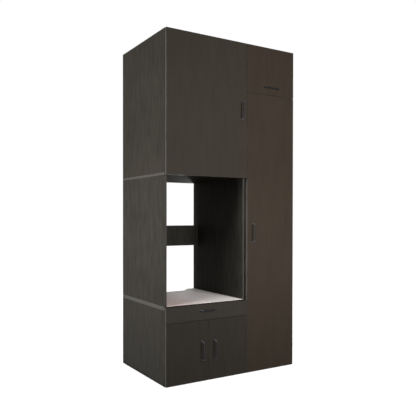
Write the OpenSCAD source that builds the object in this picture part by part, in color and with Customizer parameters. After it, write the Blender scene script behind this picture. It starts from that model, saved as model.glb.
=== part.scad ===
// Tall laundry cabinet with a raised niche for a washing machine.
// Left column: low cabinet with two doors and a drawer, open niche, upper cabinet with one door.
// Right column: tall cabinet with one long door and a flap above it.
// Millimetres. The origin is on the floor, in the middle of the footprint with the handles.
// +X points right as seen from the front, -Y to the front and +Z up.

/* [Overall] */
// Height of the cabinet from the floor, glides included
overall_h = 2350; // [2280:1:2440]
// Width of the left column with the niche
left_w = 670; // [650:1:760]
// Width of the tall cabinet on the right
tall_w = 440; // [400:1:600]
// Depth of the boards behind the fronts
carcass_d = 627; // [600:1:680]
// Height of the glides under the bottom boards
glide_h = 6; // [4:0.5:12]
// Radius of a glide
glide_r = 12; // [8:0.5:15]
// Distance of a glide's axis from the edges of its bottom board
glide_inset = 22; // [16:1:60]

/* [Boards] */
// Thickness of the carcass boards
board = 16; // [15:0.5:19]
// Thickness of the board that carries the machine
machine_board_t = 25; // [19:0.5:38]
// Thickness of the light sheet laid on the machine's board
sheet_t = 2; // [1:0.5:4]
// Thickness of the back panels
back_t = 3; // [2.5:0.5:5]
// Distance of a back panel from the rear edges of the boards
back_inset = 12; // [8:1:20]
// Depth of the grooves that hold the back panels and the drawer's bottom
groove_d = 6; // [4:0.5:8]
// Play of a panel in its groove, in thickness
groove_play = 0.2; // [0.1:0.1:0.5]
// Play of a panel at the bottom of its groove
groove_end_play = 0.5; // [0.3:0.1:1]

/* [Low cabinet and niche] */
// Height of the low cabinet's side boards
base_side_h = 484; // [470:1:540]
// Height of the niche's side boards
niche_side_h = 864; // [855:1:900]
// Width of the open slot between the niche and the tall cabinet
niche_slot_w = 10; // [4:0.5:20]
// Height of the rail across the back of the niche
rail_h = 160; // [80:1:200]
// Height of the rail's lower edge over the machine's board
rail_z = 361; // [200:1:600]
// Distance of the rail from the rear edges of the boards
rail_inset = 49; // [20:1:80]
// Width of the hose cut-out at its front edge
hose_front_w = 360; // [200:1:380]
// Width of the hose cut-out at the rear edge of the board
hose_rear_w = 508; // [400:1:560]
// Depth of the hose cut-out from the rear edge
hose_d = 70; // [40:1:110]

/* [Fronts] */
// Thickness of the doors, the flap and the drawer front
front_t = 16; // [16:0.5:19]
// Gap between the fronts and the edges of the boards
front_gap = 2; // [1.5:0.1:3]
// Distance of a front's edge from the outline of its cabinet, half of the gap between two fronts
reveal = 1.5; // [1:0.1:2.5]
// Height of the flap
flap_h = 340.5; // [300:0.5:420]
// Height of the drawer front
drawer_front_h = 105; // [100:0.5:140]
// Distance of the drawer front's top edge below the top of the machine's board
drawer_front_drop = 4.5; // [2:0.5:10]

/* [Handles] */
// Distance between the two legs of a handle
handle_pitch = 128; // [96:32:160]
// Distance of a handle's outermost point from its front
handle_out = 25; // [23:0.5:35]
// Radius of the round bar that a handle is bent from
handle_bar_r = 4; // [3:0.1:4.5]
// Radius of the bends between the bar and its legs, along the axis of the bar
handle_bend_r = 12; // [9:0.5:13]
// Radius of the foot that is turned on the end of a leg
handle_foot_r = 6; // [5.5:0.1:8]
// Height of the foot's rim and of the cone above it
handle_foot_h = 1.5; // [1:0.1:2]
// Radius of the screw holes behind the legs
handle_hole_r = 2.25; // [2:0.05:2.75]
// Distance of an upright handle's axis from the free edge of its door
handle_inset = 50; // [35:1:90]
// Distance of the flap's handle above the lower edge of the flap
flap_handle_z = 50; // [35:1:120]
// Distance of the drawer's handle below the top edge of the drawer front
drawer_handle_drop = 38.5; // [20:0.5:60]

/* [Hinges] */
// Radius of the hole for a hinge cup
cup_hole_r = 17.5; // [17.3:0.1:18]
// Play between a cup and its hole
cup_play = 0.1; // [0.05:0.05:0.2]
// Depth of a hinge cup in its door
cup_depth = 11.5; // [11:0.1:11.7]
// Wall of a hinge cup
cup_wall = 0.9; // [0.6:0.1:1]
// Distance of a cup's centre from the hinged edge of its door
cup_edge = 22; // [21.5:0.1:22.5]
// Thickness of a cup's flange
flange_t = 0.8; // [0.5:0.1:1]
// Distance between the two screw places of a flange
flange_pitch = 48; // [45:1:52]
// Radius of the hinge pins
pin_r = 1.5; // [1.2:0.05:1.6]
// Radial play of a link on its pins
pin_play = 0.05; // [0.02:0.01:0.1]
// Half of the width of a link
link_w = 4; // [3:0.1:5]
// Thickness of a link's arms
link_t = 2; // [1.4:0.1:2.2]
// Thickness of the sheet that the hinge arms are bent from
arm_t = 1.5; // [1:0.1:2]
// Side play between a link and the ears of its arm
ear_play = 0.15; // [0.1:0.05:0.4]
// Length of a hinge arm
arm_len = 62; // [50:1:80]
// Distance of a plate's screws behind the front edge of its board
plate_y = 37; // [30:1:50]
// Distance between the two screw places of a mounting plate
plate_pitch = 32; // [28:1:40]
// Distance of the outer hinges from the ends of the upper door and the tall door
hinge_end = 100; // [70:1:150]
// Distance of the hinges from the ends of the low cabinet's doors
base_hinge_end = 80; // [60:1:110]
// Distance of the hinges from the ends of the flap
flap_hinge_end = 80; // [60:1:120]
// Number of hinges on the upper door
upper_hinges = 3; // [2:1:4]
// Number of hinges on the tall door
tall_hinges = 4; // [3:1:6]

/* [Drawer] */
// Length of the drawer's box and of its runners
drawer_len = 500; // [400:10:550]
// Thickness of the drawer's boards
drawer_board = 12; // [10:0.5:14]
// Height of the drawer's box
drawer_box_h = 64; // [55:0.5:64]
// Height of the box above the lower edge of the drawer front
drawer_box_z = 12.5; // [10:0.5:16]
// Thickness of the drawer's bottom
drawer_bottom_t = 4; // [3:0.5:6]
// Height of the drawer's bottom above the lower edge of the box
drawer_bottom_z = 8; // [6:0.5:12]
// Width of a runner between the cabinet's side and the drawer
runner_w = 12.7; // [12:0.1:14]
// Height of a runner
runner_h = 45; // [40:0.5:50]
// Thickness of the runners' steel
runner_t = 1.2; // [1:0.1:1.5]
// Gap between two members of a runner
runner_gap = 0.5; // [0.4:0.1:0.6]
// Distance of the runners behind the front edges of the boards
runner_inset = 2; // [1:0.5:10]

/* [Shelves] */
// Height of the lower shelf above the bottom board of the upper cabinet
upper_shelf_1 = 300; // [150:1:330]
// Height of the upper shelf above the bottom board of the upper cabinet
upper_shelf_2 = 610; // [560:1:700]
// Height of the lower movable shelf in the tall cabinet
tall_shelf_1 = 508; // [350:1:620]
// Height of the fixed shelf in the tall cabinet
tall_fixed_z = 1002; // [850:1:1150]
// Height of the upper movable shelf in the tall cabinet
tall_shelf_2 = 1504; // [1450:1:1650]
// Distance of the movable shelves behind the front edges of the boards
shelf_inset = 20; // [5:1:60]
// Play at each end of a movable shelf
shelf_play = 0.5; // [0.3:0.1:1]
// Radius of a shelf pin's peg
peg_r = 2.5; // [2:0.1:3]
// Play between a peg and its hole
peg_play = 0.05; // [0.05:0.01:0.2]
// Depth of a peg in its board
peg_depth = 8; // [6:0.5:10]
// Distance of the pins from the front and rear edges of the boards
pin_inset = 60; // [40:1:100]

/* [Hidden] */

$fn = 48;
// Overshoot of a cutting shape beyond the face that it opens
over = 1;

// Where the boards start behind the outer faces of the fronts, and where they end
edge_y = front_t + front_gap;
rear_y = edge_y + carcass_d;
// Place of the fronts' outer faces in the model's frame
shift_y = (rear_y + handle_out) / 2 - handle_out;
right_x = left_w + tall_w;

// Levels of the left column
base_z = glide_h + board;
machine_z = base_z + base_side_h;
niche_z = machine_z + machine_board_t;
upper_z = niche_z + niche_side_h;
top_z = overall_h - board;
// Faces of the niche's right side board
niche_right_x = left_w - niche_slot_w - board;

// Front face of the back panels and the widths inside the two columns
back_y = rear_y - back_inset - back_t;
left_in = left_w - 2 * board;
tall_in = tall_w - 2 * board;
niche_in = niche_right_x - board;

// Edges of the fronts
front_lo = glide_h + reveal;
front_hi = overall_h - reveal;
flap_lo = front_hi - flap_h;
tall_door_hi = flap_lo - 2 * reveal;
drawer_hi = niche_z - drawer_front_drop;
drawer_lo = drawer_hi - drawer_front_h;
base_door_hi = drawer_lo - 2 * reveal;
base_mid = left_w / 2;
base_door_w = base_mid - 2 * reveal;
tall_door_l = left_w + reveal;
tall_door_r = right_x - reveal;

// Middle of the divider between the tall door and the flap
divider_z = flap_lo - reveal - board / 2;

// Hinge: distances u from the hinged edge of the door, v from its outer face.
// A cup pin turns with the door, a link joins it to the arm pin on the cabinet.
cup_pin = [10.5, front_t - 6.5];
arm_pin = [34, edge_y + 10];
// Bends of the link, so that it swings clear of the cup's rim and the door's edge
link_bends = [cup_pin, [18.5, front_t - 8.8], [24.5, front_t - 7], [30, edge_y - 0.5], arm_pin];
cup_r = cup_hole_r - cup_play;
cup_v = front_t - cup_depth;
cup_knuckle_r = pin_r + 1.3;
arm_knuckle_r = pin_r + 1.7;
ear_w = link_w + ear_play;
// Screw wings of a cup's flange and of a mounting plate: radius of their ends
wing_r = 6;
// Distance of a flange's wings behind the centre of its cup and breadth of its rim
wing_u = 9.5;
rim_w = 1.3;
// Inner face of the board that carries the arms, and the face of an arm's channel at its rear end
board_u = board - reveal;
arm_u = board_u + 12;
// Distances behind the arm's pin: its channel starts, its ears meet the board, its plate starts
channel_v = arm_pin[1] + 9;
ear_v = arm_pin[1] + 14;
arm_plate_v = arm_pin[1] + 12;

// Drawer box
drawer_z = drawer_lo + drawer_box_z;
drawer_l = board + runner_w;
drawer_r = left_w - board - runner_w;
runner_z = drawer_z + drawer_box_h / 2;
runner_y = edge_y + runner_inset;

// Heights of the hinges between the ends lo and hi of a door, end away from them
function spread(lo, hi, end, n) = [for (i = [0:n - 1]) lo + end + i * (hi - lo - 2 * end) / (n - 1)];
upper_w = spread(upper_z, front_hi, hinge_end, upper_hinges);
tall_w_z = spread(front_lo, tall_door_hi, hinge_end, tall_hinges);
base_w = spread(front_lo, base_door_hi, base_hinge_end, 2);
flap_w = spread(tall_door_l, tall_door_r, flap_hinge_end, 2);

// Places of a cabinet's shelf pins along the depth
pin_ys = [edge_y + pin_inset, back_y - pin_inset];
// Undersides of the movable shelves
upper_shelf_zs = [upper_z + board + upper_shelf_1, upper_z + board + upper_shelf_2];
tall_shelf_zs = [tall_shelf_1, tall_shelf_2];

// Moves what is drawn from the corner of the cabinet to the model's frame
module in_frame() {
  translate([-right_x / 2, -shift_y, 0]) children();
}

// A board from corner a to corner b
module slab(a, b) {
  translate(a) cube(b - a);
}

// Groove for a back panel in the faces of the boards round it
module back_groove(x0, x1, z0, z1) {
  slab([x0 - groove_d, back_y - groove_play / 2, z0 - groove_d],
       [x1 + groove_d, back_y + back_t + groove_play / 2, z1]);
}

// Back panel that fills the groove with its play, its top edge against the board above
module back_panel(x0, x1, z0, z1) {
  reach = groove_d - groove_end_play;
  slab([x0 - reach, back_y, z0 - reach], [x1 + reach, back_y + back_t, z1]);
}

// Glides: short plastic feet with a tapered rim
glide_taper = 2;
module glides() {
  in_frame() color("black")
    for (c = [[0, left_w], [left_w, right_x]])
      for (x = [c[0] + glide_inset, c[1] - glide_inset])
        for (y = [edge_y + glide_inset, rear_y - glide_inset])
          translate([x, y, 0]) cylinder(h = glide_h, r1 = glide_r - glide_taper, r2 = glide_r);
}

module front_color() { color([0.25, 0.24, 0.23]) children(); }
module board_color() { color([0.3, 0.3, 0.28]) children(); }

// Low cabinet
module base_bottom() {
  in_frame() board_color() difference() {
    slab([0, edge_y, glide_h], [left_w, rear_y, base_z]);
    back_groove(board, left_w - board, base_z, machine_z);
  }
}
module base_side(x) {
  difference() {
    slab([x, edge_y, base_z], [x + board, rear_y, machine_z]);
    back_groove(board, left_w - board, base_z, machine_z + over);
  }
}
module base_side_left() { in_frame() board_color() base_side(0); }
module base_side_right() { in_frame() board_color() base_side(left_w - board); }
module base_back() {
  in_frame() color("gainsboro") back_panel(board, left_w - board, base_z, machine_z);
}

// Cut-out for the hoses at the rear of the niche, wider towards the wall
module hose_cut(z0, z1) {
  mid = board + niche_in / 2;
  slope = (hose_rear_w - hose_front_w) / 2 / hose_d;
  translate([mid, rear_y, z0]) linear_extrude(z1 - z0) polygon([
    [-hose_front_w / 2, -hose_d], [hose_front_w / 2, -hose_d],
    [hose_rear_w / 2 + slope * over, over], [-hose_rear_w / 2 - slope * over, over]
  ]);
}
module machine_board() {
  in_frame() board_color() difference() {
    slab([0, edge_y, machine_z], [left_w, rear_y, niche_z]);
    hose_cut(machine_z - over, niche_z + over);
  }
}
module machine_sheet() {
  in_frame() color("gainsboro") difference() {
    slab([board, edge_y, niche_z], [niche_right_x, rear_y, niche_z + sheet_t]);
    hose_cut(niche_z - over, niche_z + sheet_t + over);
  }
}

// Niche
module niche_side_left() {
  in_frame() board_color() slab([0, edge_y, niche_z], [board, rear_y, upper_z]);
}
module niche_side_right() {
  in_frame() board_color()
    slab([niche_right_x, edge_y, niche_z], [niche_right_x + board, rear_y, upper_z]);
}
module niche_rail() {
  in_frame() board_color()
    slab([board, rear_y - rail_inset - board, niche_z + rail_z],
         [niche_right_x, rear_y - rail_inset, niche_z + rail_z + rail_h]);
}

// Blind holes for the shelf pins, open on the face at x, running in the direction dir
module peg_holes(x, dir, zs) {
  for (y = pin_ys)
    for (z = zs)
      translate([x, y, z - peg_r]) rotate([0, 90 * dir, 0])
        translate([0, 0, -over]) cylinder(h = peg_depth + groove_end_play + over, r = peg_r + peg_play);
}

// Upper cabinet
module upper_bottom() {
  in_frame() board_color() difference() {
    slab([0, edge_y, upper_z], [left_w, rear_y, upper_z + board]);
    back_groove(board, left_w - board, upper_z + board, top_z);
  }
}
module upper_side(x, face, dir) {
  difference() {
    slab([x, edge_y, upper_z + board], [x + board, rear_y, overall_h]);
    back_groove(board, left_w - board, upper_z + board, top_z);
    peg_holes(face, dir, upper_shelf_zs);
  }
}
module upper_side_left() { in_frame() board_color() upper_side(0, board, -1); }
module upper_side_right() {
  in_frame() board_color() upper_side(left_w - board, left_w - board, 1);
}
module upper_top() {
  in_frame() board_color() slab([board, edge_y, top_z], [left_w - board, rear_y, overall_h]);
}
module upper_back() {
  in_frame() color("gainsboro") back_panel(board, left_w - board, upper_z + board, top_z);
}
// Movable shelf between the faces x0 and x1 with its underside at z
module shelf(x0, x1, z) {
  slab([x0 + shelf_play, edge_y + shelf_inset, z], [x1 - shelf_play, back_y - shelf_play, z + board]);
}
module upper_shelves() {
  in_frame() board_color() for (z = upper_shelf_zs) shelf(board, left_w - board, z);
}

// Tall cabinet
module tall_bottom() {
  in_frame() board_color() difference() {
    slab([left_w, edge_y, glide_h], [right_x, rear_y, base_z]);
    back_groove(left_w + board, right_x - board, base_z, top_z);
  }
}
module tall_side(x, face, dir) {
  difference() {
    slab([x, edge_y, base_z], [x + board, rear_y, overall_h]);
    back_groove(left_w + board, right_x - board, base_z, top_z);
    peg_holes(face, dir, tall_shelf_zs);
  }
}
module tall_side_left() { in_frame() board_color() tall_side(left_w, left_w + board, -1); }
module tall_side_right() {
  in_frame() board_color() tall_side(right_x - board, right_x - board, 1);
}
module tall_top() {
  in_frame() board_color()
    slab([left_w + board, edge_y, top_z], [right_x - board, rear_y, overall_h]);
}
// Fixed board between the sides of the tall cabinet with its underside at z
module tall_cross(z) {
  slab([left_w + board, edge_y, z], [right_x - board, back_y, z + board]);
}
module tall_divider() { in_frame() board_color() tall_cross(divider_z); }
module tall_fixed_shelf() { in_frame() board_color() tall_cross(tall_fixed_z); }
module tall_shelves() {
  in_frame() board_color()
    for (z = tall_shelf_zs) shelf(left_w + board, right_x - board, z);
}
module tall_back() {
  in_frame() color("gainsboro") back_panel(left_w + board, right_x - board, base_z, top_z);
}

// Shelf pin: a peg in the side board and a flat tongue with a rib below it under the shelf
module shelf_pin() {
  tongue = [9, 4 * peg_r, 2];
  rib = [7, 1.5, 2 * peg_r];
  translate([0, 0, -peg_r]) {
    rotate([0, -90, 0]) cylinder(h = peg_depth, r = peg_r);
    rotate([0, 90, 0]) cylinder(h = peg_r / 2, r = peg_r);
    translate([0, -tongue[1] / 2, peg_r - tongue[2]]) cube(tongue);
    translate([0, -rib[1] / 2, -peg_r]) cube(rib);
  }
}
module pin_set(x0, x1, zs) {
  for (y = pin_ys)
    for (z = zs) {
      translate([x0, y, z]) shelf_pin();
      translate([x1, y, z]) mirror([1, 0, 0]) shelf_pin();
    }
}
module shelf_pins() {
  in_frame() color("silver") {
    pin_set(board, left_w - board, upper_shelf_zs);
    pin_set(left_w + board, right_x - board, tall_shelf_zs);
  }
}

// Turns the hinge's own axes u, v and w to a door that is hinged at its left, right or top edge
module at_edge(side, edge, w) {
  if (side == "left") translate([edge, 0, w]) children();
  if (side == "right") translate([edge, 0, w]) mirror([1, 0, 0]) children();
  if (side == "top") translate([w, 0, edge]) rotate([0, 90, 0]) children();
}

// Hole for a hinge cup in the back of a door
module cup_hole() {
  translate([cup_edge, cup_v - groove_end_play / 2, 0]) rotate([-90, 0, 0])
    cylinder(h = cup_depth + groove_end_play / 2 + over, r = cup_hole_r);
}

// Screw holes of a handle through a front, along z
module handle_holes() {
  for (s = [-1, 1])
    translate([0, -over, s * handle_pitch / 2]) rotate([-90, 0, 0])
      cylinder(h = front_t + 2 * over, r = handle_hole_r);
}

// Front between the corners a and b, each given as [x, z]
module front(a, b) {
  slab([a[0], 0, a[1]], [b[0], front_t, b[1]]);
}

upper_handle_at = [left_w - reveal - handle_inset, (upper_z + front_hi) / 2];
tall_handle_at = [tall_door_l + handle_inset, (front_lo + tall_door_hi) / 2];
flap_handle_at = [(tall_door_l + tall_door_r) / 2, flap_lo + flap_handle_z];
base_handle_z = (front_lo + base_door_hi) / 2;
base_left_handle_at = [base_mid - reveal - handle_inset, base_handle_z];
base_right_handle_at = [base_mid + reveal + handle_inset, base_handle_z];
drawer_handle_at = [left_w / 2, drawer_hi - drawer_handle_drop];

// Puts an upright or a lying handle, or its holes, at a place given as [x, z]
module upright(at) { translate([at[0], 0, at[1]]) children(); }
module lying(at) { translate([at[0], 0, at[1]]) rotate([0, 90, 0]) children(); }

module upper_door() {
  in_frame() front_color() difference() {
    front([reveal, upper_z], [left_w - reveal, front_hi]);
    for (w = upper_w) at_edge("left", reveal, w) cup_hole();
    upright(upper_handle_at) handle_holes();
  }
}
module tall_door() {
  in_frame() front_color() difference() {
    front([tall_door_l, front_lo], [tall_door_r, tall_door_hi]);
    for (w = tall_w_z) at_edge("right", tall_door_r, w) cup_hole();
    upright(tall_handle_at) handle_holes();
  }
}
module flap() {
  in_frame() front_color() difference() {
    front([tall_door_l, flap_lo], [tall_door_r, front_hi]);
    for (w = flap_w) at_edge("top", front_hi, w) cup_hole();
    lying(flap_handle_at) handle_holes();
  }
}
module base_door_left() {
  in_frame() front_color() difference() {
    front([reveal, front_lo], [base_mid - reveal, base_door_hi]);
    for (w = base_w) at_edge("left", reveal, w) cup_hole();
    upright(base_left_handle_at) handle_holes();
  }
}
module base_door_right() {
  in_frame() front_color() difference() {
    front([base_mid + reveal, front_lo], [left_w - reveal, base_door_hi]);
    for (w = base_w) at_edge("right", left_w - reveal, w) cup_hole();
    upright(base_right_handle_at) handle_holes();
  }
}

// Hinge cup: a pressed bowl with a winged flange and the pin that its link turns on
module hinge_cup() {
  half = sqrt(cup_r * cup_r - pow(cup_edge - cup_pin[0], 2)) - cup_wall / 2;
  difference() {
    union() {
      translate([cup_edge, cup_v, 0]) rotate([-90, 0, 0]) cylinder(h = cup_depth, r = cup_r);
      translate([cup_edge, front_t, 0]) rotate([-90, 0, 0]) linear_extrude(flange_t) {
        circle(r = cup_hole_r + rim_w);
        translate([wing_u, 0]) square([2 * wing_r, flange_pitch], center = true);
        for (s = [-1, 1]) translate([wing_u, s * flange_pitch / 2]) circle(r = wing_r);
      }
    }
    translate([cup_edge, cup_v + cup_wall, 0]) rotate([-90, 0, 0])
      cylinder(h = cup_depth + flange_t + over, r = cup_r - cup_wall);
  }
  translate([cup_pin[0], cup_pin[1], -half]) cylinder(h = 2 * half, r = pin_r);
}

// Bar of the width link_t between two points
module strip(a, b) {
  d = b - a;
  translate(a) rotate(atan2(d[1], d[0])) translate([0, -link_t / 2]) square([norm(d), link_t]);
}

// Link: a bent strip with a knuckle at each end
module hinge_link() {
  translate([0, 0, -link_w]) linear_extrude(2 * link_w) difference() {
    union() {
      for (i = [0:len(link_bends) - 2]) strip(link_bends[i], link_bends[i + 1]);
      for (i = [1:len(link_bends) - 2]) translate(link_bends[i]) circle(r = link_t / 2);
      translate(cup_pin) circle(r = cup_knuckle_r);
      translate(arm_pin) circle(r = arm_knuckle_r);
    }
    translate(cup_pin) circle(r = pin_r + pin_play);
    translate(arm_pin) circle(r = pin_r + pin_play);
  }
}

// Arm: mounting plate on the side board, channel with two ears and the pin between them
module hinge_arm() {
  plate_v = edge_y + plate_y;
  end_v = arm_pin[1] + arm_len;
  front_u = arm_pin[0] + arm_knuckle_r;
  rear_u = arm_pin[0] - arm_knuckle_r;
  ear = [
    [rear_u, arm_pin[1]], [front_u, arm_pin[1]], [front_u, channel_v], [arm_u, end_v],
    [board_u + arm_t, end_v], [board_u + arm_t, ear_v], [rear_u, channel_v - 1]
  ];
  for (s = [-1, 1])
    translate([0, 0, s * (ear_w + arm_t / 2) - arm_t / 2]) linear_extrude(arm_t) {
      polygon(ear);
      translate(arm_pin) circle(r = arm_knuckle_r);
    }
  // Web that joins the ears, on the side away from the board
  translate([0, 0, -ear_w]) linear_extrude(2 * ear_w) polygon([
    [front_u, channel_v], [arm_u, end_v], [arm_u - arm_t, end_v], [front_u - arm_t, channel_v]
  ]);
  translate([arm_pin[0], arm_pin[1], -ear_w - arm_t]) cylinder(h = 2 * (ear_w + arm_t), r = pin_r);
  // Mounting plate with a wing to each side
  translate([board_u, 0, 0]) rotate([0, 90, 0]) linear_extrude(arm_t) {
    translate([-ear_w - arm_t, arm_plate_v]) square([2 * (ear_w + arm_t), end_v - arm_plate_v]);
    translate([-plate_pitch / 2, plate_v - wing_r]) square([plate_pitch, 2 * wing_r]);
    for (s = [-1, 1]) translate([s * plate_pitch / 2, plate_v]) circle(r = wing_r);
  }
}

module steel() { color("silver") children(); }
module upper_cups() {
  in_frame() steel() for (w = upper_w) at_edge("left", reveal, w) hinge_cup();
}
module tall_cups() {
  in_frame() steel() for (w = tall_w_z) at_edge("right", tall_door_r, w) hinge_cup();
}
module flap_cups() {
  in_frame() steel() for (w = flap_w) at_edge("top", front_hi, w) hinge_cup();
}
module base_left_cups() {
  in_frame() steel() for (w = base_w) at_edge("left", reveal, w) hinge_cup();
}
module base_right_cups() {
  in_frame() steel() for (w = base_w) at_edge("right", left_w - reveal, w) hinge_cup();
}
module upper_links() {
  in_frame() steel() for (w = upper_w) at_edge("left", reveal, w) hinge_link();
}
module tall_links() {
  in_frame() steel() for (w = tall_w_z) at_edge("right", tall_door_r, w) hinge_link();
}
module flap_links() {
  in_frame() steel() for (w = flap_w) at_edge("top", front_hi, w) hinge_link();
}
module base_left_links() {
  in_frame() steel() for (w = base_w) at_edge("left", reveal, w) hinge_link();
}
module base_right_links() {
  in_frame() steel() for (w = base_w) at_edge("right", left_w - reveal, w) hinge_link();
}
module hinge_arms() {
  in_frame() steel() {
    for (w = upper_w) at_edge("left", reveal, w) hinge_arm();
    for (w = tall_w_z) at_edge("right", tall_door_r, w) hinge_arm();
    for (w = flap_w) at_edge("top", front_hi, w) hinge_arm();
    for (w = base_w) at_edge("left", reveal, w) hinge_arm();
    for (w = base_w) at_edge("right", left_w - reveal, w) hinge_arm();
  }
}

// Bow handle: a round bar bent to two legs, each with a turned foot on the front
module bow_handle() {
  bar_y = handle_out - handle_bar_r;
  leg = bar_y - handle_bend_r;
  half = handle_pitch / 2;
  foot = [
    [0, 0], [handle_foot_r, 0], [handle_foot_r, handle_foot_h],
    [handle_bar_r, 2 * handle_foot_h], [0, 2 * handle_foot_h]
  ];
  color([0.04, 0.04, 0.04]) {
    for (s = [-1, 1]) {
      translate([0, 0, s * half]) rotate([90, 0, 0]) {
        rotate_extrude() polygon(foot);
        cylinder(h = leg, r = handle_bar_r);
      }
      translate([0, -leg, s * (half - handle_bend_r)]) rotate([0, 90, 180]) mirror([s < 0 ? 0 : 1, 0, 0])
        rotate_extrude(angle = 90) translate([handle_bend_r, 0]) circle(r = handle_bar_r);
    }
    translate([0, -bar_y, handle_bend_r - half])
      cylinder(h = handle_pitch - 2 * handle_bend_r, r = handle_bar_r);
  }
}
module upper_handle() { in_frame() upright(upper_handle_at) bow_handle(); }
module tall_handle() { in_frame() upright(tall_handle_at) bow_handle(); }
module flap_handle() { in_frame() lying(flap_handle_at) bow_handle(); }
module base_left_handle() { in_frame() upright(base_left_handle_at) bow_handle(); }
module base_right_handle() { in_frame() upright(base_right_handle_at) bow_handle(); }
module drawer_handle() { in_frame() lying(drawer_handle_at) bow_handle(); }

// Drawer: a box on runners behind its front
module drawer_front() {
  in_frame() front_color() difference() {
    front([reveal, drawer_lo], [left_w - reveal, drawer_hi]);
    lying(drawer_handle_at) handle_holes();
  }
}

// Groove for the drawer's bottom in the faces of its boards
module bottom_groove() {
  slab([drawer_l + drawer_board - groove_d, front_t + drawer_board - groove_d,
        drawer_z + drawer_bottom_z - groove_play / 2],
       [drawer_r - drawer_board + groove_d, front_t + drawer_len + over,
        drawer_z + drawer_bottom_z + drawer_bottom_t + groove_play / 2]);
}
module drawer_side(x) {
  color("gainsboro") difference() {
    slab([x, front_t, drawer_z], [x + drawer_board, front_t + drawer_len, drawer_z + drawer_box_h]);
    bottom_groove();
  }
}
module drawer_side_left() { in_frame() drawer_side(drawer_l); }
module drawer_side_right() { in_frame() drawer_side(drawer_r - drawer_board); }
module drawer_box_front() {
  in_frame() color("gainsboro") difference() {
    slab([drawer_l + drawer_board, front_t, drawer_z],
         [drawer_r - drawer_board, front_t + drawer_board, drawer_z + drawer_box_h]);
    bottom_groove();
  }
}
module drawer_box_back() {
  in_frame() color("gainsboro")
    slab([drawer_l + drawer_board, front_t + drawer_len - drawer_board,
          drawer_z + drawer_bottom_z + drawer_bottom_t],
         [drawer_r - drawer_board, front_t + drawer_len, drawer_z + drawer_box_h]);
}
module drawer_bottom() {
  reach = groove_d - groove_end_play;
  in_frame() color("gainsboro")
    slab([drawer_l + drawer_board - reach, front_t + drawer_board - reach, drawer_z + drawer_bottom_z],
         [drawer_r - drawer_board + reach, front_t + drawer_len,
          drawer_z + drawer_bottom_z + drawer_bottom_t]);
}

// Channel of a runner with its web between w0 and w1 and lips that reach to w2, half height h
module channel(w0, w1, w2, h) {
  rotate([90, 0, 0]) translate([0, 0, -drawer_len]) linear_extrude(drawer_len) {
    translate([min(w0, w1), -h]) square([runner_t, 2 * h]);
    for (z = [-h, h - runner_t]) translate([min(w0, w2), z]) square([abs(w2 - w0), runner_t]);
  }
}
// Puts a runner member on the left side board and, mirrored, on the right one
module both_runners(y) {
  translate([board, y, runner_z]) children();
  translate([left_w - board, y, runner_z]) mirror([1, 0, 0]) children();
}
runner_step = runner_t + runner_gap;
lip_w = runner_w - runner_step;
module runner_outer() {
  in_frame() steel() both_runners(runner_y) channel(0, runner_t, lip_w, runner_h / 2);
}
module runner_middle() {
  in_frame() steel() both_runners(runner_y)
    channel(runner_step, runner_step + runner_t, lip_w, runner_h / 2 - runner_step);
}
module runner_inner() {
  in_frame() steel() both_runners(front_t)
    channel(runner_w, runner_w - runner_t, 2 * runner_step, runner_h / 2 - 2 * runner_step);
}

glides();
base_bottom();
base_side_left();
base_side_right();
base_back();
machine_board();
machine_sheet();
niche_side_left();
niche_side_right();
niche_rail();
upper_bottom();
upper_side_left();
upper_side_right();
upper_top();
upper_back();
upper_shelves();
tall_bottom();
tall_side_left();
tall_side_right();
tall_top();
tall_divider();
tall_fixed_shelf();
tall_shelves();
tall_back();
shelf_pins();
upper_door();
tall_door();
flap();
base_door_left();
base_door_right();
upper_cups();
tall_cups();
flap_cups();
base_left_cups();
base_right_cups();
upper_links();
tall_links();
flap_links();
base_left_links();
base_right_links();
hinge_arms();
upper_handle();
tall_handle();
flap_handle();
base_left_handle();
base_right_handle();
drawer_front();
drawer_handle();
drawer_side_left();
drawer_side_right();
drawer_box_front();
drawer_box_back();
drawer_bottom();
runner_outer();
runner_middle();
runner_inner();
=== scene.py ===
import bpy
import math
from mathutils import Matrix, Vector


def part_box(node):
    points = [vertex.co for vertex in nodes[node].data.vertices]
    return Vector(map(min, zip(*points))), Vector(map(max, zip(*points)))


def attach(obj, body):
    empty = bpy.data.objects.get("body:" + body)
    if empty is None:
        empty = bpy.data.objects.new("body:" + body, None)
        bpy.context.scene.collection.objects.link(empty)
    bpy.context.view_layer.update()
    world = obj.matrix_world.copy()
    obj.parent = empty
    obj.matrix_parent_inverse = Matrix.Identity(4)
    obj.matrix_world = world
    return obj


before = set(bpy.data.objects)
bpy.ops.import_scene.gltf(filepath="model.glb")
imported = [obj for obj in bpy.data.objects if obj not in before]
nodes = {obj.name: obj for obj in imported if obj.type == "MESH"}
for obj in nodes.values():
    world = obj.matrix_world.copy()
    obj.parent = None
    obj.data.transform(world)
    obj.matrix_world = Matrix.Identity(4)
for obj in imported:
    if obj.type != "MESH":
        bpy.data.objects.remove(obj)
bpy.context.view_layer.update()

# Carcass boards.
# The boards of both columns are chipboard with a dark laminate that has a fine upright grain.
# They are sawn to size and their long edges carry a thin, slightly lighter edge band.

def feed(tree, target, source):
    """Links a socket to the source where that is a socket, and otherwise sets it to the source."""
    if isinstance(source, bpy.types.NodeSocket):
        tree.links.new(source, target)
    else:
        target.default_value = source


def add_node(tree, kind, **values):
    """Node with the given settings and inputs."""
    node = tree.nodes.new(kind)
    for key, value in values.items():
        if hasattr(node, key):
            setattr(node, key, value)
        else:
            feed(tree, node.inputs[key], value)
    return node


def arithmetic(tree, operation, *terms, clamp=False):
    node = add_node(tree, "ShaderNodeMath", operation=operation, use_clamp=clamp)
    for target, term in zip(node.inputs, terms):
        feed(tree, target, term)
    return node.outputs["Value"]


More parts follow.
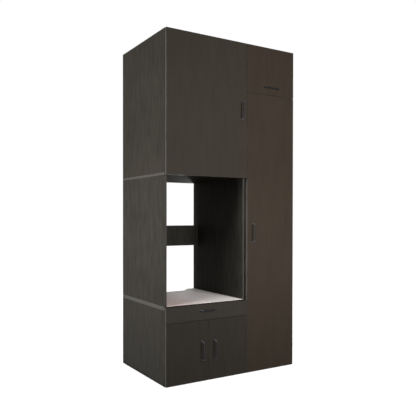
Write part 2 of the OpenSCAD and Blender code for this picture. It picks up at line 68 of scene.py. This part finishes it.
def arrow_arithmetic(tree, operation, *terms):
    """The same for vectors, where a dot product or a length comes out as a number."""
    node = add_node(tree, "ShaderNodeVectorMath", operation=operation)
    for target, term in zip(node.inputs, terms):
        feed(tree, target, term)
    return node.outputs["Value" if operation in ("DOT_PRODUCT", "LENGTH") else "Vector"]


def speckle(tree, place, per_metre, detail, roughness=0.5):
    """Uneven value around one half, with about so many specks to the metre."""
    noise = add_node(
        tree, "ShaderNodeTexNoise", Vector=place, Scale=per_metre, Detail=detail, Roughness=roughness,
    )
    return noise.outputs["Fac"]


def slope(tree, value, start, end, before=0.0, after=1.0):
    """Goes smoothly from one value to another while the input goes from start to end."""
    step = add_node(tree, "ShaderNodeMapRange", interpolation_type="SMOOTHSTEP", Value=value)
    for label, number in (("From Min", start), ("From Max", end), ("To Min", before), ("To Max", after)):
        step.inputs[label].default_value = number
    return step.outputs["Result"]


def blend(tree, share, first, second, blend_type="MIX"):
    """Second colour over the first by its share; both are linear colours or sockets."""
    mix = add_node(tree, "ShaderNodeMix", data_type="RGBA", blend_type=blend_type, Factor=share)
    first_colour, second_colour = mix.inputs[6], mix.inputs[7]
    feed(tree, first_colour, (*first, 1) if isinstance(first, tuple) else first)
    feed(tree, second_colour, (*second, 1) if isinstance(second, tuple) else second)
    return mix.outputs[2]


def raise_skin(tree, shader, height, strength, distance):
    """Fine relief that follows the height."""
    relief = add_node(tree, "ShaderNodeBump", Strength=strength, Distance=distance, Height=height)
    tree.links.new(relief.outputs["Normal"], shader.inputs["Normal"])


def new_group(name, inputs, outputs):
    """Empty node group, with the sockets that its nodes read from and write to."""
    group = bpy.data.node_groups.new(name, "ShaderNodeTree")
    for in_out, sockets in (("INPUT", inputs), ("OUTPUT", outputs)):
        for label, kind in sockets.items():
            group.interface.new_socket(name=label, in_out=in_out, socket_type="NodeSocket" + kind)
    return group, add_node(group, "NodeGroupInput").outputs, add_node(group, "NodeGroupOutput").inputs


def place_group(tree, group, values):
    node = add_node(tree, "ShaderNodeGroup", node_tree=group)
    for label, value in values.items():
        node.inputs[label].default_value = value
    return node.outputs


def new_material(name):
    material = bpy.data.materials.new(name)
    material.use_nodes = True
    return material, material.node_tree, material.node_tree.nodes["Principled BSDF"]


def paint(name, material):
    """Gives a solid of the frame its finish."""
    skin = nodes[name].data.materials
    skin.clear()
    skin.append(material)


def build_grain_group():
    """Streaks and pores along one axis over a slow mottle, for laminate printed as wood."""
    group, given, made = new_group(
        "laminate grain",
        {
            "Dark": "Color", "Light": "Color", "Stretch": "Vector", "Cut from": "Vector",
            "Streaks per metre": "Float", "Streak strength": "Float", "Gloss": "Float",
        },
        {"Color": "Color", "Roughness": "Float", "Height": "Float"},
    )
    pores_per_metre, pore_share = 1400.0, 0.35
    mottles_per_metre, mottle_share = 3.0, 0.5
    lowest_height = 0.05
    roughness_swing = 0.12
    place = add_node(group, "ShaderNodeTexCoord").outputs["Object"]
    drawn_out = arrow_arithmetic(group, "MULTIPLY_ADD", place, given["Stretch"], given["Cut from"])
    streaks = speckle(group, drawn_out, given["Streaks per metre"], detail=4.0, roughness=0.6)
    pores = speckle(group, drawn_out, pores_per_metre, detail=2.0, roughness=0.6)
    mottle = speckle(group, place, mottles_per_metre, detail=3.0)
    streaks = arithmetic(group, "SUBTRACT", streaks, 0.5)
    streaks = arithmetic(group, "MULTIPLY", streaks, given["Streak strength"])
    pores = arithmetic(group, "MULTIPLY_ADD", pores, pore_share, lowest_height)
    ground = arithmetic(group, "MULTIPLY_ADD", mottle, mottle_share, pores)
    height = arithmetic(group, "ADD", streaks, ground, clamp=True)
    feed(group, made["Color"], blend(group, height, given["Dark"], given["Light"]))
    roughness = arithmetic(group, "MULTIPLY_ADD", height, roughness_swing, given["Gloss"])
    feed(group, made["Roughness"], roughness)
    feed(group, made["Height"], height)
    return group


grain = build_grain_group()


def build_band_group():
    """Masks of a board's narrow, level and end faces, and of the band's thin rim on the broad faces."""
    group, given, made = new_group(
        "edge band",
        {"Broad axis": "Vector", "Lowest corner": "Vector", "Highest corner": "Vector"},
        {"Mask": "Float", "Level": "Float", "End": "Float", "Rim": "Float"},
    )
    rim_start, rim_end, rim_strength = 0.0001, 0.0005, 0.5
    rim_wobble, wobbles_per_metre = 0.0004, 160.0
    surface = add_node(group, "ShaderNodeTexCoord").outputs
    place, normal = surface["Object"], surface["Normal"]
    facing = add_node(group, "ShaderNodeSeparateXYZ", Vector=normal).outputs
    for label, axis in (("Level", "Z"), ("End", "X")):
        steepness = arithmetic(group, "ABSOLUTE", facing[axis])
        feed(group, made[label], arithmetic(group, "GREATER_THAN", steepness, 0.5))
    broadside = arrow_arithmetic(group, "DOT_PRODUCT", normal, given["Broad axis"])
    broadside = arithmetic(group, "ABSOLUTE", broadside)
    feed(group, made["Mask"], arithmetic(group, "LESS_THAN", broadside, 0.5))
    from_lowest = arrow_arithmetic(group, "SUBTRACT", place, given["Lowest corner"])
    from_highest = arrow_arithmetic(group, "SUBTRACT", given["Highest corner"], place)
    nearer = arrow_arithmetic(group, "MINIMUM", from_lowest, from_highest)
    # One metre more along the broad axis keeps the broad faces themselves out of the count.
    nearer = arrow_arithmetic(group, "ADD", nearer, given["Broad axis"])
    nearer = add_node(group, "ShaderNodeSeparateXYZ", Vector=nearer).outputs
    to_edge = arithmetic(group, "MINIMUM", nearer["X"], nearer["Y"])
    to_edge = arithmetic(group, "MINIMUM", to_edge, nearer["Z"])
    wobble = speckle(group, place, wobbles_per_metre, detail=3.0, roughness=0.6)
    to_edge = arithmetic(group, "MULTIPLY_ADD", wobble, -rim_wobble, to_edge)
    feed(group, made["Rim"], slope(group, to_edge, rim_start, rim_end, before=rim_strength, after=0.0))
    return group


edge_band = build_band_group()


def laminate(
    board, dark, light, band, broad, stretch, streaks=70.0, strength=1.6, gloss=0.5, bump=0.15,
    sheen=0.02, level=None, ends=None,
):
    """Laminate of one board: grain on its faces, a plainer band on its narrow faces and their rim."""
    material, tree, shader = new_material(board.replace("_", " ") + " laminate")
    low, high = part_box(board)
    # Every board is cut from another place of the sheet, so that no two share their streaks.
    number = len(bpy.data.materials)
    cut_from = tuple(step * number for step in (0.37, 0.23, 0.11))
    skin = place_group(tree, grain, {
        "Dark": (*dark, 1), "Light": (*light, 1), "Stretch": stretch, "Cut from": cut_from,
        "Streaks per metre": streaks, "Streak strength": strength, "Gloss": gloss,
    })
    edges = place_group(tree, edge_band, {
        "Broad axis": broad, "Lowest corner": low, "Highest corner": high,
    })
    darkest, lightest = 0.82, 1.18

    def lay_over(below, mask, colour):
        """Another colour where the mask is 1, a little uneven as the grain is."""
        darker = tuple(darkest * part for part in colour)
        lighter = tuple(lightest * part for part in colour)
        return blend(tree, mask, below, blend(tree, skin["Height"], darker, lighter))

    colour = lay_over(skin["Color"], edges["Rim"], band)
    colour = lay_over(colour, edges["Mask"], band)
    if level:
        colour = lay_over(colour, edges["Level"], level)
    if ends:
        colour = lay_over(colour, edges["End"], ends)
    tree.links.new(colour, shader.inputs["Base Color"])
    tree.links.new(skin["Roughness"], shader.inputs["Roughness"])
    raise_skin(tree, shader, skin["Height"], strength=bump, distance=0.0004)
    shader.inputs["Specular IOR Level"].default_value = sheen
    return material


sideways, forwards, upwards = (1, 0, 0), (0, 1, 0), (0, 0, 1)
upright_grain, level_grain = (1, 1, 0.12), (0.09, 1, 1)
board_dark, board_light = (0.0228, 0.0208, 0.0176), (0.0540, 0.0500, 0.0430)
board_band = (0.042, 0.0395, 0.034)
upper_batch = ((0.0236, 0.0206, 0.0167), (0.0560, 0.0500, 0.0408))
# The niche's right side has a darker copy of the board laminate: painted shade inside the niche.
batches_and_shaded_copy = {
    "niche_side_right": ((0.0203, 0.0185, 0.0157), (0.0480, 0.0445, 0.0383)),
    "upper_side_left": upper_batch, "upper_side_right": upper_batch,
}
for name in (
    "base_side_left", "base_side_right", "niche_side_left", "niche_side_right",
    "tall_side_left", "tall_side_right", "upper_side_left", "upper_side_right",
):
    dark, light = batches_and_shaded_copy.get(name, (board_dark, board_light))
    paint(name, laminate(name, dark, light, board_band, sideways, upright_grain, streaks=58.0))
for name in (
    "upper_top", "upper_shelves", "tall_top", "tall_divider", "tall_fixed_shelf", "tall_shelves",
):
    paint(name, laminate(name, board_dark, board_light, board_band, upwards, level_grain))
# The rail has a darker copy of the board laminate: painted shade at the back of the niche.
shaded_rail_dark, shaded_rail_light, rail_grain = (0.0122, 0.0112, 0.0093), (0.0288, 0.0269, 0.0227), (1, 1, 0.09)
paint("niche_rail", laminate("niche_rail", shaded_rail_dark, shaded_rail_light, board_band, forwards, rail_grain))

# Through boards.
# The bottom boards and the thick machine board run through to the outer faces of the sides. Their sawn
# ends show there as narrow strips, banded light above; at the two bottom boards near the floor the ends
# are painted dark, a painted shade of the gap under the cabinet.
through_band = (0.014, 0.013, 0.011)
floor_shade_end, machine_end, upper_end = (0.0190, 0.0182, 0.0164), (0.090, 0.086, 0.077), (0.088, 0.084, 0.074)
for name, ends in (("base_bottom", floor_shade_end), ("machine_board", machine_end), ("tall_bottom", floor_shade_end)):
    paint(name, laminate(name, board_dark, board_light, through_band, upwards, level_grain, ends=ends))
# The niche's ceiling, the upper cabinet's bottom, has a darker copy of the board laminate: painted shade
# under the upper cabinet.
shaded_ceiling_dark, shaded_ceiling_light = (0.0102, 0.0085, 0.0064), (0.0229, 0.0193, 0.0147)
paint("upper_bottom", laminate(
    "upper_bottom", shaded_ceiling_dark, shaded_ceiling_light, through_band, upwards, level_grain, sheen=0.0005,
    ends=upper_end,
))

# Machine sheet.
# A thin light plastic sheet lies on the machine board inside the niche and keeps water off it.
# It is satin, warm grey and faintly clouded; toward its left end it is painted a little darker and
# redder, a painted shade where the niche's left side keeps light off it.
cloud_dark, cloud_light, left_shade_tint = (0.69, 0.633, 0.610), (0.79, 0.740, 0.720), (0.80, 0.69, 0.66)
shade_from, full_shade_from = -0.15, -0.45
roughness_swing, least_roughness = 0.15, 0.55
sheet, tree, shader = new_material("light sheet")
place = add_node(tree, "ShaderNodeTexCoord").outputs["Object"]
cloud = speckle(tree, place, per_metre=7.0, detail=4.0, roughness=0.55)
plain = blend(tree, cloud, cloud_dark, cloud_light)
from_middle = add_node(tree, "ShaderNodeSeparateXYZ", Vector=place).outputs["X"]
# Painted shade: darker and redder toward the left end.
left_shade = slope(tree, from_middle, shade_from, full_shade_from)
shaded_sheet = blend(tree, left_shade, plain, left_shade_tint, blend_type="MULTIPLY")
tree.links.new(shaded_sheet, shader.inputs["Base Color"])
texture = speckle(tree, place, per_metre=500.0, detail=3.0)
roughness = arithmetic(tree, "MULTIPLY_ADD", texture, roughness_swing, least_roughness)
tree.links.new(roughness, shader.inputs["Roughness"])
raise_skin(tree, shader, texture, strength=0.05, distance=0.0002)
shader.inputs["Specular IOR Level"].default_value = 0.03
paint("machine_sheet", sheet)

# Backs and drawer box.
# The back panels are thin hardboard and the drawer box is chipboard, both foiled in plain white.
# They sit in grooves, and the foil shows a faint fibre.
foil_dark, foil_light, foil_edge = (0.62, 0.62, 0.60), (0.74, 0.74, 0.72), (0.58, 0.57, 0.54)
foil_grain = (1, 1, 0.2)
for name, broad in (
    ("base_back", forwards), ("upper_back", forwards), ("tall_back", forwards),
    ("drawer_side_left", sideways), ("drawer_side_right", sideways), ("drawer_box_front", forwards),
    ("drawer_box_back", forwards), ("drawer_bottom", upwards),
):
    paint(name, laminate(
        name, foil_dark, foil_light, foil_edge, broad, foil_grain, streaks=120.0, strength=0.3,
        gloss=0.45, bump=0.05,
    ))

# Glides.
# Short black plastic feet, moulded with a fine matt skin.
# They are knocked into the two bottom boards and hold the cabinet a little off the floor.
deep_black, worn_black = (0.008, 0.008, 0.008), (0.02, 0.02, 0.02)
black_plastic, tree, shader = new_material("black plastic")
place = add_node(tree, "ShaderNodeTexCoord").outputs["Object"]
texture = speckle(tree, place, per_metre=900.0, detail=2.0)
tree.links.new(blend(tree, texture, deep_black, worn_black), shader.inputs["Base Color"])
raise_skin(tree, shader, texture, strength=0.2, distance=0.0003)
shader.inputs["Roughness"].default_value = 0.6
paint("glides", black_plastic)

# Fronts.
# Doors, flap and drawer front are boards with a plain matt brown-grey laminate.
# All four narrow faces carry an edge band, lighter on the upright ones; on the top and bottom faces it is
# painted dark, a painted shade in the level gaps.
upper_look = ((0.0262, 0.0221, 0.0174), (0.0360, 0.0305, 0.0242), (0.086, 0.080, 0.071))
# The tall door's and flap's upright band is lighter than on the other fronts: a painted highlight in the
# gap beside them.
tall_look_lit_band = ((0.0280, 0.0213, 0.0158), (0.0387, 0.0295, 0.0220), (0.096, 0.088, 0.079))
drawer_look = ((0.0272, 0.0239, 0.0201), (0.0375, 0.0329, 0.0279), (0.072, 0.068, 0.062))
# The low doors have a darker copy of the front laminate: painted shade near the floor.
shaded_low_look = ((0.0225, 0.0199, 0.0164), (0.0311, 0.0274, 0.0227), (0.072, 0.068, 0.062))
# The band on the fronts' top and bottom faces is painted dark: painted shade in the level gaps.
painted_gap_shade = (0.008, 0.007, 0.006)
for name, (dark, light, band) in (
    ("upper_door", upper_look), ("tall_door", tall_look_lit_band), ("flap", tall_look_lit_band),
    ("base_door_left", shaded_low_look), ("base_door_right", shaded_low_look), ("drawer_front", drawer_look),
):
    paint(name, laminate(
        name, dark, light, band, forwards, upright_grain, streaks=34.0, strength=1.1, gloss=0.42,
        bump=0.06, level=painted_gap_shade,
    ))

# Handles.
# Bow handles bent from round steel bar and painted satin black.
# Each stands on two legs, which are screwed on from the back of the front.
def handle_paint(handle, axis, leg_highlight):
    """Satin black paint, with the two legs painted a greyer shade as a painted highlight."""
    highlight_start, highlight_end = 0.053, 0.059
    paint_dark, paint_light = (0.004, 0.004, 0.005), (0.010, 0.010, 0.012)
    roughness_swing, least_roughness = 0.12, 0.2
    material, tree, shader = new_material(handle.replace("_", " ") + " paint")
    place = add_node(tree, "ShaderNodeTexCoord").outputs["Object"]
    peel = speckle(tree, place, per_metre=700.0, detail=2.0)
    paint_colour = blend(tree, peel, paint_dark, paint_light)
    middle = sum(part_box(handle), Vector()) / 2
    from_middle = arrow_arithmetic(tree, "SUBTRACT", place, middle)
    along = arrow_arithmetic(tree, "DOT_PRODUCT", from_middle, axis)
    # The legs are painted greyer than the bar: a painted highlight where lamps would catch them.
    legs = slope(tree, arithmetic(tree, "ABSOLUTE", along), highlight_start, highlight_end)
    tree.links.new(blend(tree, legs, paint_colour, leg_highlight), shader.inputs["Base Color"])
    raise_skin(tree, shader, peel, strength=0.08, distance=0.0002)
    roughness = arithmetic(tree, "MULTIPLY_ADD", peel, roughness_swing, least_roughness)
    tree.links.new(roughness, shader.inputs["Roughness"])
    shader.inputs["Specular IOR Level"].default_value = 0.12
    return material


# Painted highlights on the legs: strong on most handles, faint on the flap's.
strong_leg_highlight, faint_leg_highlight = (0.056, 0.059, 0.066), (0.014, 0.014, 0.016)
for name, axis, leg_highlight in (
    ("upper_handle", upwards, strong_leg_highlight), ("tall_handle", upwards, strong_leg_highlight),
    ("flap_handle", sideways, faint_leg_highlight), ("base_left_handle", upwards, strong_leg_highlight),
    ("base_right_handle", upwards, strong_leg_highlight), ("drawer_handle", sideways, strong_leg_highlight),
):
    paint(name, handle_paint(name, axis, leg_highlight))

# Hinges, runners and shelf pins.
# Cups, links, arms, runner members and shelf pins are of zinc-plated steel, pressed or rolled.
# The plating shows fine lines where the steel was drawn.
zinc_dark, zinc_light = (0.48, 0.49, 0.50), (0.66, 0.67, 0.68)
drawing_stretch = (1, 0.1, 1)
roughness_swing, least_roughness = 0.2, 0.25
zinc, tree, shader = new_material("zinc plating")
place = add_node(tree, "ShaderNodeTexCoord").outputs["Object"]
drawn_out = arrow_arithmetic(tree, "MULTIPLY", place, drawing_stretch)
lines = speckle(tree, drawn_out, per_metre=1500.0, detail=3.0)
tree.links.new(blend(tree, lines, zinc_dark, zinc_light), shader.inputs["Base Color"])
roughness = arithmetic(tree, "MULTIPLY_ADD", lines, roughness_swing, least_roughness)
tree.links.new(roughness, shader.inputs["Roughness"])
shader.inputs["Metallic"].default_value = 1.0
for name in (
    "upper_cups", "tall_cups", "flap_cups", "base_left_cups", "base_right_cups",
    "upper_links", "tall_links", "flap_links", "base_left_links", "base_right_links",
    "hinge_arms", "runner_outer", "runner_middle", "runner_inner", "shelf_pins",
):
    paint(name, zinc)

# Handle screws.
# Each leg is held by a zinc-plated M4 screw from the back of its front, with a low domed head and a cross
# recess. The drawer's pair also passes through the front board of its box.
def pick(piece, kind, test):
    """Leaves edit mode with just those faces or edges selected whose middle passes the test."""
    bpy.ops.object.mode_set(mode="EDIT")
    bpy.ops.mesh.select_mode(type=kind)
    bpy.ops.mesh.select_all(action="DESELECT")
    bpy.ops.object.mode_set(mode="OBJECT")
    shape = piece.data
    parts = shape.polygons if kind == "FACE" else shape.edges
    for part in parts:
        corners = [shape.vertices[i].co for i in part.vertices]
        part.select = test(sum(corners, Vector()) / len(corners))
    bpy.ops.object.mode_set(mode="EDIT")


def round_disc(name, radius, height, rim):
    """Low round piece that stands on the floor of its own axes, with a rounded upper rim."""
    just_under_top = height * 0.99
    bpy.ops.object.select_all(action="DESELECT")
    bpy.ops.mesh.primitive_cylinder_add(vertices=24, radius=radius, depth=height, location=(0, 0, 0))
    disc = bpy.context.object
    disc.name = name
    bpy.ops.object.mode_set(mode="EDIT")
    bpy.ops.transform.translate(value=(0, 0, height / 2))
    pick(disc, "EDGE", lambda middle: middle.z > just_under_top)
    bpy.ops.mesh.bevel(offset=rim, segments=3, affect="EDGES")
    bpy.ops.object.mode_set(mode="OBJECT")
    return disc


def cross_punch(recess, height):
    """Four arms that narrow downwards, for the recess in the top of a head of that height."""
    arm_share, taper, overshoot = 0.22, 0.55, 1.1
    width = recess * arm_share
    reach = recess / 2 - width / 2
    close_by, just_over_bottom = width * 0.1, -width * 0.4
    bpy.ops.object.select_all(action="DESELECT")
    bpy.ops.mesh.primitive_cube_add(size=width, location=(0, 0, 0))
    punch = bpy.context.object
    for x, y in ((1, 0), (-1, 0), (0, 1), (0, -1)):
        side = Vector((x, y, 0)) * width / 2
        pick(punch, "FACE", lambda middle: (middle - side).length < close_by)
        bpy.ops.mesh.extrude_region_move(TRANSFORM_OT_translate={"value": (x * reach, y * reach, 0)})
        bpy.ops.object.mode_set(mode="OBJECT")
    pick(punch, "FACE", lambda middle: middle.z < just_over_bottom)
    bpy.ops.transform.resize(value=(taper, taper, 1.0), center_override=(0, 0, 0))
    bpy.ops.mesh.select_all(action="SELECT")
    bpy.ops.transform.resize(value=(1, 1, height * overshoot / width))
    bpy.ops.transform.translate(value=(0, 0, height))
    bpy.ops.object.mode_set(mode="OBJECT")
    return punch


smooth_below = math.radians(40)


def cross_head(name, radius, height, recess, rim):
    """Screw head with a cross recess, standing on the floor of its own axes."""
    head = round_disc(name, radius, height, rim)
    punch = cross_punch(recess, height)
    cut = head.modifiers.new("recess", "BOOLEAN")
    cut.operation = "DIFFERENCE"
    cut.solver = "EXACT"
    cut.object = punch
    bpy.ops.object.select_all(action="DESELECT")
    bpy.context.view_layer.objects.active = head
    head.select_set(True)
    bpy.ops.object.modifier_apply(modifier="recess")
    bpy.ops.object.shade_smooth_by_angle(angle=smooth_below)
    bpy.data.objects.remove(punch)
    return head


def set_out(pattern, name, places, body, skin):
    """Copies of a small piece at the given points and directions, joined as one piece on a body."""
    bpy.ops.object.select_all(action="DESELECT")
    copies = []
    for point, direction in places:
        turn = Vector(direction).to_track_quat("Z", "Y").to_matrix().to_4x4()
        copy = pattern.copy()
        copy.data = pattern.data.copy()
        copy.data.transform(Matrix.Translation(point) @ turn)
        bpy.context.scene.collection.objects.link(copy)
        copy.select_set(True)
        copies.append(copy)
    bpy.context.view_layer.objects.active = copies[0]
    bpy.ops.object.join()
    piece = bpy.context.object
    piece.name = name
    piece.data.name = name
    piece.data.materials.clear()
    piece.data.materials.append(skin)
    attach(piece, body)


half_leg_pitch = 0.064
inwards = Vector((0, 1, 0))
handle_screw = cross_head("handle_screw", radius=0.0042, height=0.0026, recess=0.0044, rim=0.0011)
for handle, axis, body, last_board in (
    ("upper_handle", upwards, "upper_door", "upper_door"),
    ("tall_handle", upwards, "tall_door", "tall_door"),
    ("flap_handle", sideways, "flap", "flap"),
    ("base_left_handle", upwards, "base_left_door", "base_door_left"),
    ("base_right_handle", upwards, "base_right_door", "base_door_right"),
    ("drawer_handle", sideways, "drawer", "drawer_box_front"),
):
    middle = sum(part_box(handle), Vector()) / 2
    middle.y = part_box(last_board)[1].y
    to_leg = Vector(axis) * half_leg_pitch
    places = [(middle - to_leg, inwards), (middle + to_leg, inwards)]
    set_out(handle_screw, handle + "_screws", places, body, zinc)
bpy.data.objects.remove(handle_screw)

# Hinge screws.
# Two flat steel screws hold every cup's flange on its front, two more every mounting plate on its board.
# Each arm also carries the two small screws that set the front sideways and in depth.
flange_screw = cross_head("flange_screw", radius=0.0036, height=0.0014, recess=0.0040, rim=0.0008)
plate_screw = cross_head("plate_screw", radius=0.0038, height=0.0020, recess=0.0042, rim=0.0010)
setting_screw = cross_head("setting_screw", radius=0.0028, height=0.0008, recess=0.0036, rim=0.0003)

# Distances from the hinged edge and from the outer face of the front, and from the hinge's middle.
flange_from_edge, flange_from_face, half_flange_pitch = 0.0315, 0.0168, 0.024
plate_from_edge, plate_from_face, half_plate_pitch = 0.016, 0.055, 0.016
setting_from_faces = (0.057, 0.079)
arm_from_edge, arm_from_face, arm_fall = 0.0372, 0.037, 0.202
out_of_arm = (0.98, 0.198)


def hinge_spots(front, side, count, inset):
    """Even places of a front's hinges along its hinged edge."""
    low, high = (corner.x if side == "top" else corner.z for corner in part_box(front))
    step = (high - low - 2 * inset) / (count - 1)
    return [low + inset + step * i for i in range(count)]


def hinge_point(front, side, spot, from_edge, from_face, along=0.0):
    low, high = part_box(front)
    if side == "top":
        return Vector((spot + along, low.y + from_face, high.z - from_edge))
    x = low.x + from_edge if side == "left" else high.x - from_edge
    return Vector((x, low.y + from_face, spot + along))


def hinge_way(side, off_edge, off_face):
    """Direction that leads so much off the hinged edge and so much off the outer face."""
    if side == "top":
        return (0, off_face, -off_edge)
    return (off_edge if side == "left" else -off_edge, off_face, 0)


plate_places, setting_places = [], []
for name, front, body, side, count, inset in (
    ("upper_cup_screws", "upper_door", "upper_door", "left", 3, 0.100),
    ("tall_cup_screws", "tall_door", "tall_door", "right", 4, 0.100),
    ("flap_cup_screws", "flap", "flap", "top", 2, 0.080),
    ("base_left_cup_screws", "base_door_left", "base_left_door", "left", 2, 0.080),
    ("base_right_cup_screws", "base_door_right", "base_right_door", "right", 2, 0.080),
):
    flange_places = []
    for spot in hinge_spots(front, side, count, inset):
        for along in (-half_flange_pitch, half_flange_pitch):
            point = hinge_point(front, side, spot, flange_from_edge, flange_from_face, along)
            flange_places.append((point, hinge_way(side, 0, 1)))
        for along in (-half_plate_pitch, half_plate_pitch):
            point = hinge_point(front, side, spot, plate_from_edge, plate_from_face, along)
            plate_places.append((point, hinge_way(side, 1, 0)))
        for from_face in setting_from_faces:
            from_edge = arm_from_edge - arm_fall * (from_face - arm_from_face)
            point = hinge_point(front, side, spot, from_edge, from_face)
            setting_places.append((point, hinge_way(side, *out_of_arm)))
    set_out(flange_screw, name, flange_places, body, zinc)
set_out(plate_screw, "hinge_plate_screws", plate_places, "cabinet", zinc)
set_out(setting_screw, "hinge_setting_screws", setting_places, "cabinet", zinc)
for pattern in (flange_screw, plate_screw, setting_screw):
    bpy.data.objects.remove(pattern)

# Door pads.
# Small soft pads of black plastic, moulded as low discs with a rounded rim.
# They stick to the backs of the fronts near their free corners and meet the carcass's edges.
pad = round_disc("pad", radius=0.0045, height=0.0019, rim=0.0009)
bpy.ops.object.shade_smooth_by_angle(angle=smooth_below)
# Distances in from a front's left and lower edge, or with a minus sign from its right and upper edge.
near, far = 0.0065, -0.0065
for name, body, front, insets in (
    ("upper_door_pads", "upper_door", "upper_door", ((-0.0075, 0.008), (-0.0075, -0.0075))),
    ("tall_door_pads", "tall_door", "tall_door", ((near, 0.0075), (near, -0.011))),
    ("flap_pads", "flap", "flap", ((near, 0.006), (far, 0.006))),
    ("base_left_door_pads", "base_left_door", "base_door_left", ((-0.0085, 0.007), (0.0585, 0.007))),
    ("base_right_door_pads", "base_right_door", "base_door_right", ((0.0085, 0.007), (-0.0585, 0.007))),
    ("drawer_pads", "drawer", "drawer_front", ((near, 0.0525), (far, 0.0525))),
):
    low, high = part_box(front)
    places = []
    for across, up in insets:
        x = across + (low.x if across > 0 else high.x)
        z = up + (low.z if up > 0 else high.z)
        places.append((Vector((x, high.y, z)), inwards))
    set_out(pad, name, places, body, black_plastic)
bpy.data.objects.remove(pad)

# Room and camera.
# A plain pale floor and a white sky that lights nothing. Soft lamps stand at the left, high at the left,
# in front, at the near left corner, and low at the right before and behind. The view is the photograph's.
def seen_directly(tree):
    """One for rays from the camera, from gloss and through glass, nought for those that light pieces."""
    rays = add_node(tree, "ShaderNodeLightPath").outputs
    clear = arithmetic(tree, "MAXIMUM", rays["Is Camera Ray"], rays["Is Transmission Ray"])
    return arithmetic(tree, "MAXIMUM", clear, rays["Is Glossy Ray"])


world = bpy.data.worlds.new("studio")
bpy.context.scene.world = world
world.use_nodes = True
sky = world.node_tree.nodes["Background"]
sky.inputs["Color"].default_value = (1, 1, 1, 1)
world.node_tree.links.new(seen_directly(world.node_tree), sky.inputs["Strength"])

floor_width, floor_drop = 60.0, 0.0005
bounce_grey, shown_grey = (0.10, 0.10, 0.10, 1), (0.8, 0.8, 0.8, 1)
shaded_until, white_from, shade = 0.6, 2.6, 0.72
bpy.ops.object.select_all(action="DESELECT")
bpy.ops.mesh.primitive_plane_add(size=floor_width, location=(0, 0, -floor_drop))
floor = bpy.context.object
floor.name = "floor"
floor_skin, tree, shader = new_material("pale floor")
shader.inputs["Base Color"].default_value = bounce_grey
shader.inputs["Roughness"].default_value = 0.9
shader.inputs["Specular IOR Level"].default_value = 0.0
place = add_node(tree, "ShaderNodeTexCoord").outputs["Object"]
from_cabinet = arrow_arithmetic(tree, "LENGTH", place)
# The floor glows for rays from the camera, less near the cabinet: a painted shade around it, under which
# the cabinet's shadow shows.
whiteness = slope(tree, from_cabinet, shaded_until, white_from, before=shade, after=1.0)
bright = add_node(tree, "ShaderNodeBsdfDiffuse", Color=shown_grey)
glow = add_node(tree, "ShaderNodeEmission", Strength=whiteness)
lifted = add_node(tree, "ShaderNodeAddShader")
tree.links.new(bright.outputs[0], lifted.inputs[0])
tree.links.new(glow.outputs[0], lifted.inputs[1])
both = add_node(tree, "ShaderNodeMixShader", Fac=seen_directly(tree))
tree.links.new(shader.outputs[0], both.inputs[1])
tree.links.new(lifted.outputs[0], both.inputs[2])
tree.links.new(both.outputs[0], tree.nodes["Material Output"].inputs["Surface"])
floor.data.materials.append(floor_skin)


def hang(name, lamp, place, target, power):
    lamp.energy = power
    hung = bpy.data.objects.new(name, lamp)
    bpy.context.scene.collection.objects.link(hung)
    hung.location = place
    hung.rotation_euler = (Vector(target) - Vector(place)).to_track_quat("-Z", "Y").to_euler()
    hung.visible_camera = False


def panel_lamp(name, place, target, size, power):
    lamp = bpy.data.lights.new(name, "AREA")
    lamp.shape = "SQUARE"
    lamp.size = size
    hang(name, lamp, place, target, power)


def beam_lamp(name, place, target, radius, spread, soft_edge, power):
    lamp = bpy.data.lights.new(name, "SPOT")
    lamp.shadow_soft_size = radius
    lamp.spot_size = math.radians(spread)
    lamp.spot_blend = soft_edge
    hang(name, lamp, place, target, power)


beam_lamp(
    "left lamp", (-7.0, 0.0, 0.9), (-0.55, 0.0, 0.95), radius=1.2, spread=22.0, soft_edge=0.7,
    power=2500.0,
)
panel_lamp("high left lamp", (-4.6, -1.35, 4.6), (0.0, -0.25, 0.8), size=1.5, power=185.0)
panel_lamp("front lamp", (0.2, -2.85, 1.6), (0.1, 0.0, 1.3), size=1.1, power=95.5)
panel_lamp("corner lamp", (-2.9, -3.0, 3.4), (0.0, 0.0, 1.0), size=1.4, power=16.4)
beam_lamp(
    "low right lamp", (1.9, -3.4, 0.9), (0.38, -0.3, 0.80), radius=0.3, spread=22.0, soft_edge=1.0,
    power=151.0,
)
beam_lamp(
    "back right lamp", (3.6, 4.1, 0.52), (0.1, 0.3, 1.15), radius=0.7, spread=31.0, soft_edge=0.6,
    power=1750.0,
)

photo_width, focal_pixels = 416.0, 499.2
centre_pixel_x, centre_pixel_y = 146.3, 222.42
viewpoint = (-2.2005, -3.0994, 1.1171)
degrees_down, degrees_right = 0.59, 28.28
camera_data = bpy.data.cameras.new("camera")
camera = bpy.data.objects.new("camera", camera_data)
bpy.context.scene.collection.objects.link(camera)
bpy.context.scene.camera = camera
camera_data.sensor_width = 36.0
camera_data.lens = focal_pixels * camera_data.sensor_width / photo_width
camera_data.shift_x = (photo_width / 2 - centre_pixel_x) / photo_width
camera_data.shift_y = (centre_pixel_y - photo_width / 2) / photo_width
camera.location = viewpoint
camera.rotation_euler = (math.radians(90.0 - degrees_down), 0.0, math.radians(-degrees_right))

bpy.context.scene.view_settings.view_transform = "Standard"
